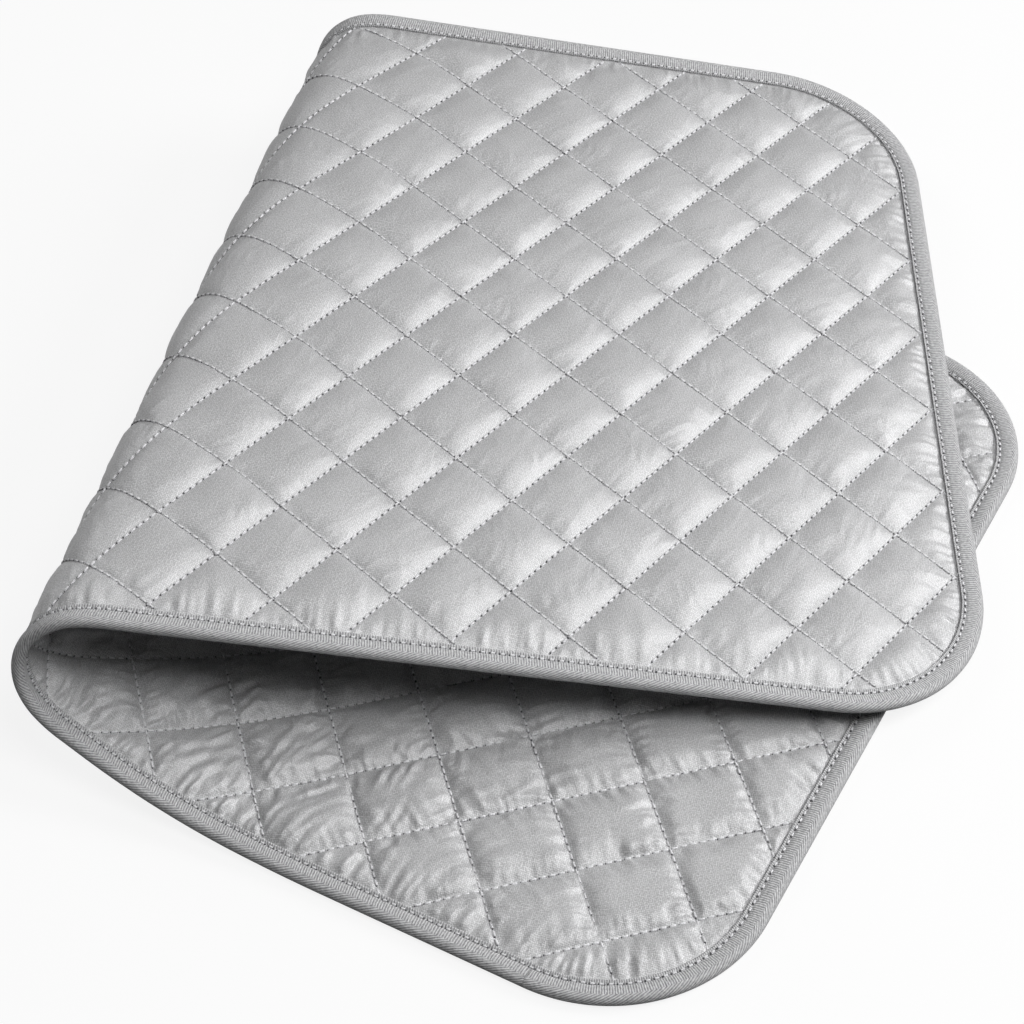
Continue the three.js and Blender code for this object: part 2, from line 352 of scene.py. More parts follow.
def add_creases(height, rng, count, zone, angles, lengths, widths, rises, abreast):
    """Sets of soft, nearly straight creases, some abreast, at random places in a zone."""
    (low_x, low_y), (high_x, high_y) = zone
    inside = in_cover & (grid[..., 0] > low_x) & (grid[..., 0] < high_x)
    inside &= (grid[..., 1] > low_y) & (grid[..., 1] < high_y)
    spots = np.argwhere(inside)
    for i, j in spots[rng.integers(0, len(spots), count)]:
        angle = math.radians(rng.uniform(*angles))
        length, width = rng.uniform(*lengths), rng.uniform(*widths)
        rise = rng.uniform(*rises) * rng.choice([-1, 1])
        bow = rng.uniform(-CREASE_BOW, CREASE_BOW) / length
        reach = int((1 + CREASE_STAGGER) * length / GRID_STEP) + 2
        window = np.s_[max(i - reach, 0) : i + reach, max(j - reach, 0) : j + reach]
        off = grid[window] - grid[i, j]
        u = off @ (math.cos(angle), math.sin(angle))
        v = off @ (-math.sin(angle), math.cos(angle)) + bow * u * u
        for place in np.arange(abreast) - (abreast - 1) / 2:
            wobble = rng.uniform(-CREASE_WOBBLE, CREASE_WOBBLE)
            aside = CREASE_SPACING * width * (place + wobble)
            stagger = rng.uniform(-CREASE_STAGGER, CREASE_STAGGER) * length
            share = np.clip(1 - ((u - stagger) / length) ** 2, 0, 1)
            height[window] += rise * np.exp(-(((v - aside) / width) ** 2)) * share**2


def quilted(seed, look):
    """Heights of one cover over its seams, in millimetres, on the grid."""
    rng = np.random.default_rng(seed)
    share_a, share_b = grid_a % 1, grid_b % 1
    pillow = np.ones(grid_a.shape)
    for share, fullness in zip((share_a, share_b), look["fullness"]):
        pillow *= 1 - np.abs(2 * share - 1) ** fullness
    cell_a = np.floor(grid_a + 1e-9).astype(int) - int(grid_a.min())
    cell_b = np.floor(grid_b + 1e-9).astype(int) - int(grid_b.min())
    count = (cell_a.max() + 1, cell_b.max() + 1)
    crown = PILLOW_RISE * rng.uniform(*CROWN_RANGE, count)[cell_a, cell_b]
    lean_a = rng.uniform(-CROWN_LEAN, CROWN_LEAN, count)[cell_a, cell_b] * (share_a - 0.5)
    lean_b = rng.uniform(-CROWN_LEAN, CROWN_LEAN, count)[cell_a, cell_b] * (share_b - 0.5)
    body = crown * pillow * (1 + lean_a + lean_b)
    body *= 1 - look["stretch"] * np.exp(-(((grid[..., 0] - FOLD_CROWN) / FOLD_REACH) ** 4))
    wrinkles = np.zeros(grid_a.shape)
    for crease in look["creases"]:
        add_creases(wrinkles, rng, *crease)
    wrinkles *= np.minimum(1, WRINKLE_STEEPNESS * pillow)
    add_seam_gathers(wrinkles, rng, look["gathers"])
    from_tape = np.clip(grid_inset - TAPE_EDGE, 0, None)
    rise = np.clip(from_tape / TAPE_RISE, 0, 1)
    rise = 1 - (1 - rise) ** RISE_POWER
    pulls = np.zeros(grid_a.shape)
    around = 4 * (CORE_U + CORE_V) + 2 * math.pi * CORNER_RADIUS
    for gap, width, height, peak in look["tape_gathers"]:
        row = gathers(rng, around, gap, width, height)
        slant = rng.uniform(-PULL_SLANT, PULL_SLANT)
        pull = gathered(row, grid_round + slant * from_tape)
        pulls += pull * gather_fade(from_tape, peak)
    height = (body + wrinkles) * rise + pulls * np.minimum(1, PULL_STEEPNESS * pillow)
    return np.maximum(height, LOWEST_HEIGHT)


# How each cover looks, in millimetres and degrees. Gathers are (gap, width, height, where highest),
# and creases are (count, zone, angles, lengths, widths, heights, how many abreast).
every_way = (0, 180)
pad_zone = [(-470, -350), (460, 350)]
fold_zone = [(-230, -300), (60, 280)]
outer_look = {
    "stretch": 0.45,
    "fullness": (2.8, 3.3),
    "gathers": [(4.2, 1.0, 0.3, 2.4), (8, 1.6, 0.35, 4.5), (15, 2.8, 0.3, 8)],
    "creases": [
        (230, pad_zone, (88, 118), (7, 15), (1.3, 2.2), (0.2, 0.55), 3),
        (150, pad_zone, every_way, (10, 20), (1.8, 3.2), (0.1, 0.3), 1),
    ],
    "tape_gathers": [(4.4, 1.1, 1.0, 2.4), (7, 1.6, 1.2, 4.5), (13, 2.6, 0.7, 9)],
}
inner_look = {
    "stretch": 0.0,
    "fullness": (4.0, 2.7),
    "gathers": [(3.6, 0.95, 0.9, 2.3), (6.5, 1.4, 1.0, 4.5), (12, 2.4, 0.8, 8)],
    "creases": [
        (150, pad_zone, (110, 150), (13, 28), (1.5, 2.6), (0.3, 1.0), 3),
        (200, pad_zone, every_way, (8, 20), (1.6, 3.0), (0.2, 0.6), 1),
        (120, fold_zone, (95, 150), (16, 32), (1.6, 2.8), (0.9, 2.1), 3),
    ],
    "tape_gathers": [(4.4, 1.1, 1.6, 2.8), (7, 1.6, 1.9, 5.5), (13, 2.6, 1.0, 10)],
}
outer_height = quilted(OUTER_SEED, outer_look)
inner_height = quilted(INNER_SEED, inner_look)

# The two halves come close at their far ends, where the inner pillows are pressed down
close = smooth((np.abs(grid[..., 0]) - CLOSE_FROM) / CLOSE_OVER)
inner_room = SEAM_DEPTH + INNER_CROWN + (END_CROWN - INNER_CROWN) * close
spare_room = (inner_room - inner_height) / CROWN_SOFTNESS
inner_height = inner_room - CROWN_SOFTNESS * np.logaddexp(0, spare_room)
outer_deep = SEAM_DEPTH - outer_height
inner_deep = PAD_THICKNESS - SEAM_DEPTH + inner_height


def linear(hex_colour):
    """An sRGB hex colour as linear RGBA."""
    parts = [int(hex_colour[i : i + 2], 16) / 255 for i in (1, 3, 5)]
    return [p / 12.92 if p <= 0.04045 else ((p + 0.055) / 1.055) ** 2.4 for p in parts] + [1.0]


def add_node(tree, kind, settings=None, **inputs):
    """Adds a node: settings are its properties, inputs its values or the sockets that feed it."""
    node = tree.nodes.new(kind)
    for key, value in (settings or {}).items():
        setattr(node, key, value)
    for key, value in inputs.items():
        socket = node.inputs[int(key[1:])] if key[0] == "_" else node.inputs[key.replace("_", " ")]
        if isinstance(value, bpy.types.NodeSocket):
            tree.links.new(value, socket)
        else:
            socket.default_value = value
    return node


def wave_scale(pitch):
    """The scale at which the wave texture's bands lie a pitch apart."""
    return 2 * math.pi / pitch / 20


def new_material(name):
    """An empty material and its node tree."""
    material = bpy.data.materials.new(name)
    material.use_nodes = True
    material.node_tree.nodes.clear()
    return material, material.node_tree


# Aluminised cotton: a plain weave under a thin metal-filled coating, which gives a soft satin gleam,
# bright where a pillow turns to the light, with a fine crinkle and grain.
# The threads, about 0.4 mm apart, are drawn 0.9 mm apart, which is as fine as the picture shows.
CLOTH_PITCH, GRAIN_SIZE = 0.9 * MM, 0.9 * MM
CRINKLE_SIZE, CLOUD_SIZE = 6 * MM, 38 * MM
WEAVE_SHARE, GRAIN_SHARE, CLOUD_SHARE = 0.16, 0.6, 0.15
silver_cloth, tree = new_material("aluminised_cotton")
cut = add_node(tree, "ShaderNodeUVMap", {"uv_map": "cut"}).outputs[0]
threads = [
    add_node(
        tree,
        "ShaderNodeTexWave",
        {"bands_direction": way},
        Vector=cut,
        Scale=wave_scale(CLOTH_PITCH),
        Distortion=5.0,
        Detail=3.0,
        Detail_Scale=1.6,
    )
    for way in "XY"
]
weave = add_node(
    tree,
    "ShaderNodeMath",
    {"operation": "ADD"},
    _0=threads[0].outputs["Fac"],
    _1=threads[1].outputs["Fac"],
)
grain, crinkle, cloud = [
    add_node(
        tree,
        "ShaderNodeTexNoise",
        {"noise_dimensions": "2D"},
        Vector=cut,
        Scale=1 / size,
        Detail=detail,
        Distortion=distortion,
    )
    for size, detail, distortion in ((GRAIN_SIZE, 2, 0), (CRINKLE_SIZE, 3, 0.6), (CLOUD_SIZE, 3, 0))
]
woven = add_node(tree, "ShaderNodeMath", {"operation": "MULTIPLY"}, _0=weave.outputs[0], _1=WEAVE_SHARE)
fine_tone = add_node(
    tree,
    "ShaderNodeMath",
    {"operation": "MULTIPLY_ADD"},
    _0=grain.outputs["Fac"],
    _1=GRAIN_SHARE,
    _2=woven.outputs[0],
)
tone = add_node(
    tree,
    "ShaderNodeMath",
    {"operation": "MULTIPLY_ADD"},
    _0=cloud.outputs["Fac"],
    _1=CLOUD_SHARE,
    _2=fine_tone.outputs[0],
)
colour = add_node(tree, "ShaderNodeValToRGB", Fac=tone.outputs[0])
colour.color_ramp.elements[0].position = 0.36
colour.color_ramp.elements[0].color = linear("#a2a2a3")
colour.color_ramp.elements[1].position = 0.71
colour.color_ramp.elements[1].color = linear("#d2d2d3")
rough = add_node(tree, "ShaderNodeMapRange", Value=grain.outputs["Fac"], To_Min=0.45, To_Max=0.58)
crumple = add_node(
    tree,
    "ShaderNodeBump",
    Strength=0.5,
    Distance=0.3 * MM,
    Height=crinkle.outputs["Fac"],
)
relief = add_node(
    tree,
    "ShaderNodeBump",
    Strength=0.7,
    Distance=0.3 * MM,
    Height=fine_tone.outputs[0],
    Normal=crumple.outputs[0],
)
skin = add_node(
    tree,
    "ShaderNodeBsdfPrincipled",
    Base_Color=colour.outputs["Color"],
    Metallic=0.19,
    Roughness=rough.outputs[0],
    Normal=relief.outputs[0],
)
add_node(tree, "ShaderNodeOutputMaterial", Surface=skin.outputs[0])

# Faces of the grid, with the cover's outer rim drawn to a clean edge under the tape
number = np.full(grid_a.shape, -1)
used = in_cover | rim
number[used] = np.arange(used.sum())
quads = np.stack([number[:-1, :-1], number[1:, :-1], number[1:, 1:], number[:-1, 1:]], -1)
whole_quads = (quads >= 0).all(-1)
whole_quads &= in_cover[:-1, :-1] | in_cover[1:, :-1] | in_cover[1:, 1:] | in_cover[:-1, 1:]
quads = quads[whole_quads]

# A cut splits the faces within this many millimetres of it
CUT_REACH = 4


def cut_at_sections(sheet, faces):
    """Splits a flat mesh along the section cuts, and returns its points, corners and face sizes."""
    flat = new_mesh("flat", sheet, faces.ravel(), np.full(len(faces), faces.shape[1]))
    work = bmesh.new()
    work.from_mesh(flat)
    bpy.data.meshes.remove(flat)
    work.faces.ensure_lookup_table()
    middles = sheet[faces, 0].mean(1)
    near_cuts = []
    for place in section_cuts:
        near = np.flatnonzero(np.abs(middles - place) < CUT_REACH)
        near_cuts.append([work.faces[n] for n in near])
    for place, close in zip(section_cuts, near_cuts):
        edges = dict.fromkeys(e for f in close for e in f.edges)
        points = dict.fromkeys(v for f in close for v in f.verts)
        bmesh.ops.bisect_plane(
            work,
            geom=[*close, *edges, *points],
            dist=1e-4,
            plane_co=(place, 0, 0),
            plane_no=(1, 0, 0),
        )
    cut_mesh = bpy.data.meshes.new("cut")
    work.to_mesh(cut_mesh)
    work.free()
    points = np.zeros(len(cut_mesh.vertices) * 3, np.float32)
    cut_mesh.vertices.foreach_get("co", points)
    corners = np.zeros(len(cut_mesh.loops), np.int32)
    cut_mesh.loops.foreach_get("vertex_index", corners)
    sizes = np.zeros(len(cut_mesh.polygons), np.int32)
    cut_mesh.polygons.foreach_get("loop_total", sizes)
    bpy.data.meshes.remove(cut_mesh)
    return points.reshape(-1, 3).astype(float), corners, sizes


def flat_size(points, corners, sizes, faces):
    """Width, length and area of a flat section in metres."""
    loops = corners[np.repeat(faces, sizes)]
    place = points[loops, :2] * MM
    ends = np.cumsum(sizes[faces])
    after = np.arange(1, len(loops) + 1)
    after[ends - 1] = np.concatenate([[0], ends[:-1]])
    area = abs((place[:, 0] * place[after, 1] - place[after, 0] * place[:, 1]).sum()) / 2
    return tuple(float(x) for x in np.ptp(place, axis=0)), float(area)


for side, deep, order in (("outer", outer_deep, 1), ("inner", inner_deep, -1)):
    flat_points = np.concatenate([grid[used], deep[used][:, None]], 1)
    points, corners, sizes = cut_at_sections(flat_points, quads[:, ::order])
    name = f"{side}_cover"
    pieces = make_sections(
        name, points, corners, sizes, points[:, :2], silver_cloth, name
    )
    for piece, faces in pieces:
        flat, area = flat_size(points, corners, sizes, faces)

# Wadding
# One sheet of off-white heat-resistant batting between the covers, thick in the pillows and thin
# at the seams. Only the quilting holds it. It ends a little inside the tape, and is drawn coarser than
# the covers that hide it.
WADDING_EASE = 0.3
WADDING_STEP = 4
WADDING_GAP = 3


def deepest(deep):
    """The greatest depth within a wadding step all round, to keep the wadding clear of creases."""
    reach = WADDING_STEP - 1
    for axis in (0, 1):
        padded = np.pad(deep, [(reach, reach) if n == axis else (0, 0) for n in (0, 1)], mode="edge")
        deep = np.lib.stride_tricks.sliding_window_view(padded, 2 * reach + 1, axis).max(-1)
    return deep


coarse = np.s_[::WADDING_STEP, ::WADDING_STEP]
inside = grid_inset[coarse] > BINDING_WIDTH + WADDING_GAP
number = np.full(inside.shape, -1)
number[inside] = np.arange(inside.sum())
coarse_quads = np.stack([number[:-1, :-1], number[1:, :-1], number[1:, 1:], number[:-1, 1:]], -1)
coarse_quads = coarse_quads[(coarse_quads >= 0).all(-1)]
flat = grid[coarse][inside]
top = np.concatenate([flat, deepest(outer_deep)[coarse][inside][:, None] + WADDING_EASE], 1)
bottom = np.concatenate([flat, -deepest(-inner_deep)[coarse][inside][:, None] - WADDING_EASE], 1)
quad_section = np.searchsorted(section_cuts, flat[coarse_quads, 0].mean(1))
slab, slab_section = [coarse_quads, coarse_quads[:, ::-1] + len(flat)], [quad_section, quad_section]
for section in range(len(section_names)):
    own = coarse_quads[quad_section == section]
    sides = np.stack([own, np.roll(own, -1, 1)], -1).reshape(-1, 2)
    _, first, uses = np.unique(np.sort(sides, 1), axis=0, return_index=True, return_counts=True)
    ends = sides[first[uses == 1]]
    slab.append(np.stack([ends[:, 1], ends[:, 0], ends[:, 0] + len(flat), ends[:, 1] + len(flat)], -1))
    slab_section.append(np.full(len(ends), section))

# Batting: loose felted fibre, matt, with soft tufts a few millimetres across.
TUFT_SIZE = 5 * MM
batting, tree = new_material("batting")
cut = add_node(tree, "ShaderNodeUVMap", {"uv_map": "cut"}).outputs[0]
tufts = add_node(
    tree,
    "ShaderNodeTexNoise",
    {"noise_dimensions": "2D"},
    Vector=cut,
    Scale=1 / TUFT_SIZE,
    Detail=4.0,
)
colour = add_node(tree, "ShaderNodeValToRGB", Fac=tufts.outputs["Fac"])
colour.color_ramp.elements[0].color = linear("#ddd9cf")
colour.color_ramp.elements[1].color = linear("#f4f1ea")
relief = add_node(tree, "ShaderNodeBump", Strength=0.5, Distance=0.4 * MM, Height=tufts.outputs["Fac"])
skin = add_node(
    tree,
    "ShaderNodeBsdfPrincipled",
    Base_Color=colour.outputs["Color"],
    Roughness=0.95,
    Normal=relief.outputs[0],
)
add_node(tree, "ShaderNodeOutputMaterial", Surface=skin.outputs[0])

slab = np.concatenate(slab)
pieces = make_sections(
    "wadding",
    np.concatenate([top, bottom]),
    slab.ravel(),
    np.full(len(slab), 4),
    np.concatenate([flat, flat]),
    batting,
    "wadding",
    np.concatenate(slab_section),
)

# Quilting thread
# Grey polyester sewn through all the layers along every seam. On both faces each stitch
# lies in the groove that it has pulled into the cloth, and dives through it at its two ends.
STITCH_PITCH, STITCH_LENGTH = 4.6, 4.2
THREAD_RADIUS = 0.6
THREAD_SIDES = 5
STITCH_SINK, SINK_START, SINK_OVER = 0.7, 0.5, 3
UNDER_TAPE = 0.6
LINE_STEP = 0.02
AHEAD = 0.4


def add_stitches(name, centres, directions, deep, out, length, hole_shade_stretch=1.0, sunk=0.0):
    """Lays one stitch on the flat sheet at each centre; out is 1 on the outer face and -1 on the inner.

    The argument after length stretches the painted shade at the stitches' two ends, where they dive
    into the needle holes, and sunk pushes each one down.
    """
    along_stitch = np.array([-0.5, -0.36, 0.36, 0.5]) * length
    lift = np.array([-0.3, 0.6, 0.6, -0.3])
    radius = np.array([0.5, 1, 1, 0.5]) * THREAD_RADIUS
    angles = np.arange(THREAD_SIDES) * 2 * math.pi / THREAD_SIDES
    sideways = radius[:, None] * np.cos(angles)
    upward = lift[:, None] + radius[:, None] * np.sin(angles)
    across = np.stack([-directions[:, 1], directions[:, 0]], -1)
    flat = centres[:, None, None] + along_stitch[None, :, None, None] * directions[:, None, None]
    flat = flat + sideways[None, :, :, None] * across[:, None, None]
    height = deep - out * (upward - np.broadcast_to(sunk, len(centres))[:, None, None])
    sheet = np.concatenate([flat, height[..., None]], -1).reshape(-1, 3)
    along_uv = np.broadcast_to(along_stitch[None, :, None], flat.shape[:3])
    thread_uv = np.stack([along_uv / length * hole_shade_stretch, along_uv], -1).reshape(-1, 2)
    rings = np.arange(4 * THREAD_SIDES).reshape(4, THREAD_SIDES)
    bands = np.stack([rings[:-1], rings[1:], np.roll(rings[1:], -1, 1), np.roll(rings[:-1], -1, 1)], -1)
    corners = np.concatenate([bands.ravel(), rings[0], rings[-1][::-1]])
    sizes = np.concatenate([np.full(3 * THREAD_SIDES, 4), [THREAD_SIDES, THREAD_SIDES]])
    every = np.arange(len(centres))[:, None] * rings.size
    stitch_section = np.searchsorted(section_cuts, centres[:, 0])
    return make_sections(
        name,
        sheet,
        (every + corners[::-out]).ravel(),
        np.tile(sizes[::-out], len(centres)),
        thread_uv,
        thread,
        None,
        np.repeat(stitch_section, len(sizes)),
    )


def along_line(line, pitch):
    """Even places along a flat line, and the directions there."""
    steps = np.hypot(*np.diff(line, axis=0).T)
    walked = np.concatenate([[0], np.cumsum(steps)])
    places = np.arange(pitch / 2, walked[-1], pitch)
    before, here, after = [
        np.stack([np.interp(places + offset, walked, line[:, n]) for n in (0, 1)], -1)
        for offset in (-AHEAD, 0, AHEAD)
    ]
    ahead = after - before
    return here, ahead / np.hypot(ahead[:, 0], ahead[:, 1])[:, None]


# Polyester thread: two plies, a little glossy, as pale as the cloth, with the shade of the needle hole
# painted dark where it dives in. The ends are told by the share of the stitch's length from its middle.
HOLE_SHADE_FROM, HOLE_SHADE_TO = 0.3, 0.43
PLY_PITCH = 0.8 * MM
thread, tree = new_material("polyester_thread")
cut = add_node(tree, "ShaderNodeUVMap", {"uv_map": "cut"}).outputs[0]
place = add_node(tree, "ShaderNodeSeparateXYZ", Vector=cut)
from_middle = add_node(tree, "ShaderNodeMath", {"operation": "ABSOLUTE"}, _0=place.outputs["X"])
# How far each point of a stitch lies into the painted shade at its needle holes
sunk = add_node(
    tree,
    "ShaderNodeMapRange",
    {"interpolation_type": "SMOOTHSTEP"},
    Value=from_middle.outputs[0],
    From_Min=HOLE_SHADE_FROM * MM,
    From_Max=HOLE_SHADE_TO * MM,
)
colour = add_node(tree, "ShaderNodeValToRGB", Fac=sunk.outputs[0])
# Pale thread in the middle, and painted shade at the ends where each stitch dives into its needle hole
colour.color_ramp.elements[0].color = linear("#d7d7d9")
colour.color_ramp.elements[1].color = linear("#58585a")
plies = add_node(
    tree,
    "ShaderNodeTexWave",
    {"bands_direction": "DIAGONAL"},
    Vector=cut,
    Scale=wave_scale(PLY_PITCH),
)
relief = add_node(tree, "ShaderNodeBump", Strength=0.5, Distance=0.15 * MM, Height=plies.outputs["Fac"])
skin = add_node(
    tree,
    "ShaderNodeBsdfPrincipled",
    Base_Color=colour.outputs["Color"],
    Roughness=0.5,
    Normal=relief.outputs[0],
)
add_node(tree, "ShaderNodeOutputMaterial", Surface=skin.outputs[0])

seam_points, seam_ways = [], []
fine = np.arange(-SEAMS_EACH_WAY, SEAMS_EACH_WAY, LINE_STEP)
for seam in range(-SEAMS_EACH_WAY, SEAMS_EACH_WAY + 1):
    same = np.full(len(fine), float(seam))
    for line in (crossing(same, fine), crossing(fine, same)):
        centres, ways = along_line(line, STITCH_PITCH)
        clear = edge_place(centres[:, 0], centres[:, 1])[0] > BINDING_WIDTH - UNDER_TAPE
        seam_points.append(centres[clear])
        seam_ways.append(ways[clear])
seam_points, seam_ways = np.concatenate(seam_points), np.concatenate(seam_ways)
from_tape = edge_place(seam_points[:, 0], seam_points[:, 1])[0] - BINDING_WIDTH
seam_sunk = STITCH_SINK * (1 - smooth((from_tape - SINK_START) / SINK_OVER))
for side, deep, out in (("outer", SEAM_DEPTH, 1), ("inner", PAD_THICKNESS - SEAM_DEPTH, -1)):
    name = f"quilting_thread_{side}"
    add_stitches(name, seam_points, seam_ways, deep, out, STITCH_LENGTH, sunk=seam_sunk)

# Binding
# One woven ribbed tape of grey polyester, folded over the raw edge of all the layers, equally wide
# on both faces, and sewn down through them. It gathers a little where it goes round the corners.
TAPE_FACE, TAPE_FALL = 0.9, 1.0
LIP_UNDERCUT, LIP_SINK, LIP_STEP = 0.9, 0.3, 0.05
EDGE_ROUND, FLAT_TOP = 3.2, 1
FACE_POINTS, ROUND_POINTS = 12, 6
BINDING_SEAM, SEAM_DIP, DIP_WIDTH = 10.0, 1.2, 0.9
PATH_STEP = 1.5
SHEAR_MARGIN, SHEAR_EASE = 15.0, 80.0
# Gap, width and height of the gathers along the whole tape and at the corners alone
RIPPLE, PUCKER = (11, 4, 0.16), (4.2, 1.2, 0.32)
PUCKER_START, PUCKER_OVER = 3, 5
CORNER_EASE = 0.25
TAPE_SEED = 5

side_lengths = np.array([CORE_U, CORE_V, CORE_U, CORE_V]) * 2
side_starts = np.concatenate([[0], np.cumsum(side_lengths + CORNER_RADIUS * math.pi / 2)])
side_corners = np.array([(-1, -1), (1, -1), (1, 1), (-1, 1)]) * (CORE_U, CORE_V)


def edge_point(walked):
    """The pad's edge at a distance round it: the point, the way in from there, and a corner's turn."""
    side = np.searchsorted(side_starts, walked, "right") - 1
    past = walked - side_starts[side]
    turn = np.clip((past - side_lengths[side]) / CORNER_RADIUS, 0, None)
    heading, facing = side * math.pi / 2, (side - 1) * math.pi / 2 + turn
    ahead = np.stack([np.cos(heading), np.sin(heading)], -1)
    ahead = np.minimum(past, side_lengths[side])[:, None] * ahead
    out = np.stack([np.cos(facing), np.sin(facing)], -1)
    return side_corners[side] + ahead + CORNER_RADIUS * out, -out, turn


# The tape's cross-section, from its edge on the outer face to its edge on the inner face
half_thick = PAD_THICKNESS / 2
tape_lip = (BINDING_WIDTH - LIP_UNDERCUT, SEAM_DEPTH + LIP_SINK)
on_face = np.linspace(BINDING_WIDTH - LIP_STEP, EDGE_ROUND, FACE_POINTS)
dip = SEAM_DIP * np.exp(-(((on_face - BINDING_SEAM) / DIP_WIDTH) ** 2))
fall = (on_face - EDGE_ROUND - FLAT_TOP) / (BINDING_SEAM - EDGE_ROUND - FLAT_TOP)
dip += TAPE_FALL * smooth(fall)
bulge = np.linspace(-math.pi / 2, 0, ROUND_POINTS)[1:]
round_edge = EDGE_ROUND * (1 - np.cos(bulge)), half_thick + (half_thick - TAPE_FACE) * np.sin(bulge)
half_profile = np.concatenate(
    [[tape_lip], np.stack([on_face, TAPE_FACE + dip], -1), np.stack(round_edge, -1)]
)
other_half = half_profile[-2::-1] * (1, -1) + (0, PAD_THICKNESS)
profile = np.concatenate([half_profile, other_half])
profile_walk = np.concatenate([[0], np.cumsum(np.hypot(*np.diff(profile, axis=0).T))])

# Its places round the pad, with one at each cut between sections on the two sides that the fold crosses
edge_cuts = []
for side in (-1, 1):
    u = FOLD_OFFSET + (section_cuts + side * PAD_WIDTH / 2 * math.sin(FOLD_SKEW)) / math.cos(FOLD_SKEW)
    edge_cuts.append(u + CORE_U if side < 0 else side_starts[2] + CORE_U - u)
walk = np.arange(0, side_starts[-1], PATH_STEP)
clear = np.abs(walk[:, None] - np.concatenate(edge_cuts)).min(1) > PATH_STEP / 2
walk = np.sort(np.concatenate([walk[clear], *edge_cuts]))
edge, inward, corner_turn = edge_point(walk)

# On those two sides its cross-sections lie along the fold, easing to square towards the corners
shear = np.zeros(len(walk))
for cuts, way in zip(edge_cuts, (1, -1)):
    beyond = np.maximum(cuts.min() - walk, walk - cuts.max())
    shear += way * math.tan(FOLD_SKEW) * (1 - smooth((beyond - SHEAR_MARGIN) / SHEAR_EASE))

rng = np.random.default_rng(TAPE_SEED)
ripple = gathered(gathers(rng, side_starts[-1], *RIPPLE), walk)
pucker = gathered(gathers(rng, side_starts[-1], *PUCKER), walk)
in_corner = smooth(np.minimum(corner_turn, math.pi / 2 - corner_turn) / CORNER_EASE)
inset, deep = profile.T
ripple_share = np.sin(math.pi * np.clip(inset / BINDING_SEAM, 0, 1))
pucker_share = smooth((inset - PUCKER_START) / PUCKER_OVER)
swell = ripple[:, None] * ripple_share + (pucker * in_corner)[:, None] * pucker_share
tape_deep = deep + np.sign(deep - half_thick) * swell
tape_u = edge[:, :1] + inward[:, :1] * inset + shear[:, None] * inset
tape_v = edge[:, 1:] + inward[:, 1:] * inset
tape_across, tape_along = to_sheet(tape_u, tape_v)
tape_sheet = np.stack([tape_across, tape_along, tape_deep], -1).reshape(-1, 3)
tape_uv = np.stack(np.broadcast_arrays(walk[:, None], profile_walk), -1).reshape(-1, 2)

ring = np.arange(len(tape_sheet)).reshape(len(walk), len(profile))
next_ring = np.roll(ring, -1, 0)
tape_quads = np.stack([ring[:, :-1], ring[:, 1:], next_ring[:, 1:], next_ring[:, :-1]], -1)
tape_quads = tape_quads.reshape(-1, 4)
ring_middle = (tape_across[:, 0] + np.roll(tape_across[:, 0], -1)) / 2
ring_section = np.searchsorted(section_cuts, ring_middle)

# Ribbed polyester tape: matt grey. Its ribs run straight across it on the faces and aslant round
# its edge, where they break up the light.
# They are about 0.8 mm apart, and are drawn as coarse as the picture shows.
RIB_PITCH, EDGE_RIB_PITCH = 1.3 * MM, 2.4 * MM
EDGE_SLANT = 1.8
SLANTED_REACH = 5.5 * MM
SLUB_SIZE = 1.6 * MM
RIB_SHARE, SLUB_SHARE = 0.45, 0.55
woven_tape, tree = new_material("ribbed_polyester_tape")
cut = add_node(tree, "ShaderNodeUVMap", {"uv_map": "cut"}).outputs[0]
place = add_node(tree, "ShaderNodeSeparateXYZ", Vector=cut)
from_edge = add_node(
    tree,
    "ShaderNodeMath",
    {"operation": "SUBTRACT"},
    _0=place.outputs["Y"],
    _1=float(profile_walk[-1]) / 2 * MM,
)
off_edge = add_node(tree, "ShaderNodeMath", {"operation": "ABSOLUTE"}, _0=from_edge.outputs[0])
at_edge = add_node(
    tree,
    "ShaderNodeMath",
    {"operation": "LESS_THAN"},
    _0=off_edge.outputs[0],
    _1=SLANTED_REACH,
)
aslant = add_node(
    tree,
    "ShaderNodeMath",
    {"operation": "MULTIPLY_ADD"},
    _0=from_edge.outputs[0],
    _1=EDGE_SLANT,
    _2=place.outputs["X"],
)
slanted = add_node(tree, "ShaderNodeCombineXYZ", X=aslant.outputs[0], Y=place.outputs["Y"])
face_ribs, edge_ribs = [
    add_node(
        tree,
        "ShaderNodeTexWave",
        {"bands_direction": "X"},
        Vector=vector,
        Scale=wave_scale(pitch),
        Distortion=2.0,
        Detail=3.0,
        Detail_Scale=2.5,
    )
    for vector, pitch in ((cut, RIB_PITCH), (slanted.outputs[0], EDGE_RIB_PITCH))
]
ribs = add_node(
    tree,
    "ShaderNodeMix",
    _0=at_edge.outputs[0],
    _2=face_ribs.outputs["Fac"],
    _3=edge_ribs.outputs["Fac"],
)
slub = add_node(
    tree,
    "ShaderNodeTexNoise",
    {"noise_dimensions": "2D"},
    Vector=cut,
    Scale=1 / SLUB_SIZE,
    Detail=4.0,
)
uneven = add_node(
    tree,
    "ShaderNodeMath",
    {"operation": "MULTIPLY"},
    _0=slub.outputs["Fac"],
    _1=SLUB_SHARE,
)
tone = add_node(
    tree,
    "ShaderNodeMath",
    {"operation": "MULTIPLY_ADD"},
    _0=ribs.outputs[0],
    _1=RIB_SHARE,
    _2=uneven.outputs[0],
)
colour = add_node(tree, "ShaderNodeValToRGB", Fac=tone.outputs[0])
colour.color_ramp.elements[0].position = 0.2
colour.color_ramp.elements[0].color = linear("#7e7e80")
colour.color_ramp.elements[1].position = 0.8
colour.color_ramp.elements[1].color = linear("#d0d0d1")
relief = add_node(tree, "ShaderNodeBump", Strength=0.9, Distance=0.45 * MM, Height=tone.outputs[0])
skin = add_node(
    tree,
    "ShaderNodeBsdfPrincipled",
    Base_Color=colour.outputs["Color"],
    Roughness=0.7,
    Sheen_Weight=0.15,
    Normal=relief.outputs[0],
)
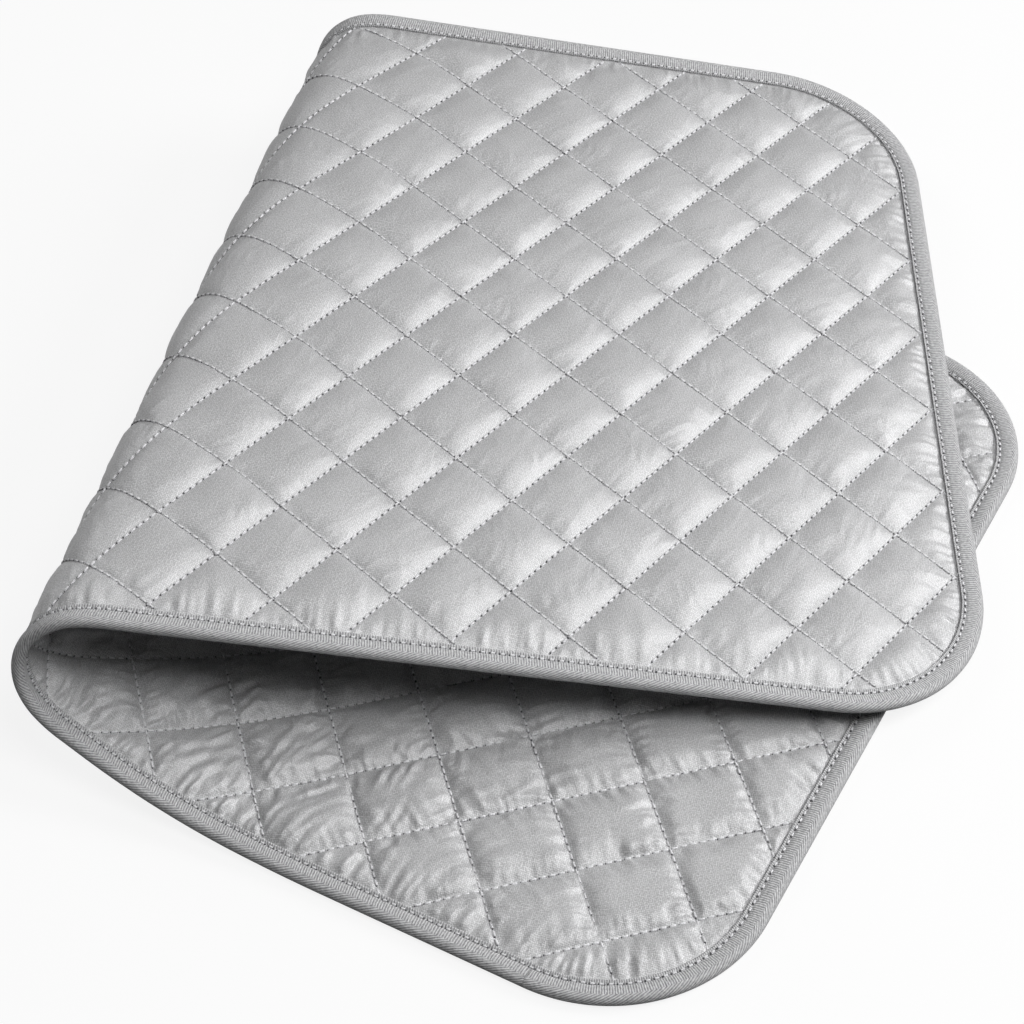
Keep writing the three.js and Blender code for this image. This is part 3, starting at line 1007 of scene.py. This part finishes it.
add_node(tree, "ShaderNodeOutputMaterial", Surface=skin.outputs[0])

pieces = make_sections(
    "binding",
    tape_sheet,
    tape_quads.ravel(),
    np.full(len(tape_quads), 4),
    tape_uv,
    woven_tape,
    "binding",
    np.repeat(ring_section, len(profile) - 1),
)
ring_lengths = np.diff(np.append(walk, side_starts[-1]))
for number, (piece, _) in enumerate(pieces):
    flat = (ring_lengths[ring_section == number].sum() * MM, profile_walk[-1] * MM)

# Binding thread
# The same thread, in one row of stitches near the tape's inner edge on both faces.
# Each stitch is pulled into the tape and dives through all the layers at its two ends.
# The last of these stretches the painted shade at each stitch's two ends, where it dives into its
# needle hole.
BINDING_PITCH, BINDING_STITCH, HOLE_SHADE_SHARE = 4.8, 3.9, 1.35
stitch_walk = np.arange(0, side_starts[-1], BINDING_PITCH)
edge, inward, _ = edge_point(stitch_walk)
row = np.stack(to_sheet(*(edge + inward * BINDING_SEAM).T), -1)
ahead = np.roll(row, -1, 0) - np.roll(row, 1, 0)
ways = ahead / np.hypot(ahead[:, 0], ahead[:, 1])[:, None]
row_deep = TAPE_FACE + TAPE_FALL + SEAM_DIP
for side, deep, out in (("outer", row_deep, 1), ("inner", PAD_THICKNESS - row_deep, -1)):
    add_stitches(f"binding_thread_{side}", row, ways, deep, out, BINDING_STITCH, HOLE_SHADE_SHARE)

# Studio
# A wide sheet of pale paper for the floor and three soft lamps: one overhead towards the front,
# and two lower at the back, the brighter on the right and a weak one on the left.
FLOOR_REACH = 60
PAPER_GLOW, GLOW_SHARE = 0.98, 0.88
WORLD_STRENGTH = 0.015

floor_mesh = bpy.data.meshes.new("floor")
floor_corners = [(x * FLOOR_REACH, y * FLOOR_REACH, 0) for x, y in ((-1, -1), (1, -1), (1, 1), (-1, 1))]
floor_mesh.from_pydata(floor_corners, [], [(0, 1, 2, 3)])
floor = bpy.data.objects.new("floor", floor_mesh)
bpy.context.scene.collection.objects.link(floor)

# Pale paper: white to the camera with soft shadows, and greyer in the light that it throws back.
paper, tree = new_material("pale_paper")
path = add_node(tree, "ShaderNodeLightPath")
mirrored = add_node(
    tree,
    "ShaderNodeMath",
    {"operation": "MAXIMUM"},
    _0=path.outputs["Is Camera Ray"],
    _1=path.outputs["Is Glossy Ray"],
)
direct = add_node(
    tree,
    "ShaderNodeMath",
    {"operation": "MAXIMUM"},
    _0=mirrored.outputs[0],
    _1=path.outputs["Is Transmission Ray"],
)
shade = add_node(
    tree,
    "ShaderNodeMix",
    {"data_type": "RGBA"},
    Factor=direct.outputs[0],
    _6=linear("#606060"),
    _7=linear("#f6f6f6"),
)
matt = add_node(tree, "ShaderNodeBsdfDiffuse", Color=shade.outputs[2])
glow = add_node(tree, "ShaderNodeEmission", Color=linear("#ffffff"), Strength=PAPER_GLOW)
seen = add_node(tree, "ShaderNodeMath", {"operation": "MULTIPLY"}, _0=direct.outputs[0], _1=GLOW_SHARE)
mixed = add_node(
    tree,
    "ShaderNodeMixShader",
    Fac=seen.outputs[0],
    _1=matt.outputs[0],
    _2=glow.outputs[0],
)
add_node(tree, "ShaderNodeOutputMaterial", Surface=mixed.outputs[0])
floor_mesh.materials.append(paper)

world = bpy.data.worlds.new("studio")
bpy.context.scene.world = world
world.use_nodes = True
background = world.node_tree.nodes["Background"]
background.inputs["Color"].default_value = linear("#ffffff")
background.inputs["Strength"].default_value = WORLD_STRENGTH


def add_light(name, place, width, power):
    """A square soft lamp that faces the pad's middle; place and width in metres, power in watts."""
    lamp = bpy.data.lights.new(name, "AREA")
    lamp.size = width
    lamp.energy = power
    light = bpy.data.objects.new(name, lamp)
    bpy.context.scene.collection.objects.link(light)
    light.location = place
    light.rotation_euler = (-Vector(place)).to_track_quat("-Z", "Y").to_euler()


add_light("overhead", (0.64, -0.5, 1.82), 0.9, 22)
add_light("right", (1.5, 0.66, 1.05), 0.8, 30)
add_light("left", (-1.35, 0.6, 1.25), 0.9, 8)

# Camera
# The photograph's own view: a long lens from the front and a little to the right, looking down.
LENS_PIXELS = 2495
FRAME_PIXELS = 1024
TARGET = (-0.0324, -0.0342, 0.0)
AZIMUTH, ELEVATION, DISTANCE = math.radians(14.09), math.radians(46.65), 1.3305

camera_data = bpy.data.cameras.new("camera")
camera_data.lens = LENS_PIXELS / FRAME_PIXELS * camera_data.sensor_width
camera = bpy.data.objects.new("camera", camera_data)
bpy.context.scene.collection.objects.link(camera)
level = math.cos(ELEVATION)
back = Vector((math.sin(AZIMUTH) * level, -math.cos(AZIMUTH) * level, math.sin(ELEVATION)))
camera.location = Vector(TARGET) + back * DISTANCE
camera.rotation_euler = (-back).to_track_quat("-Z", "Y").to_euler()
bpy.context.scene.camera = camera
bpy.context.scene.view_settings.view_transform = "Standard"
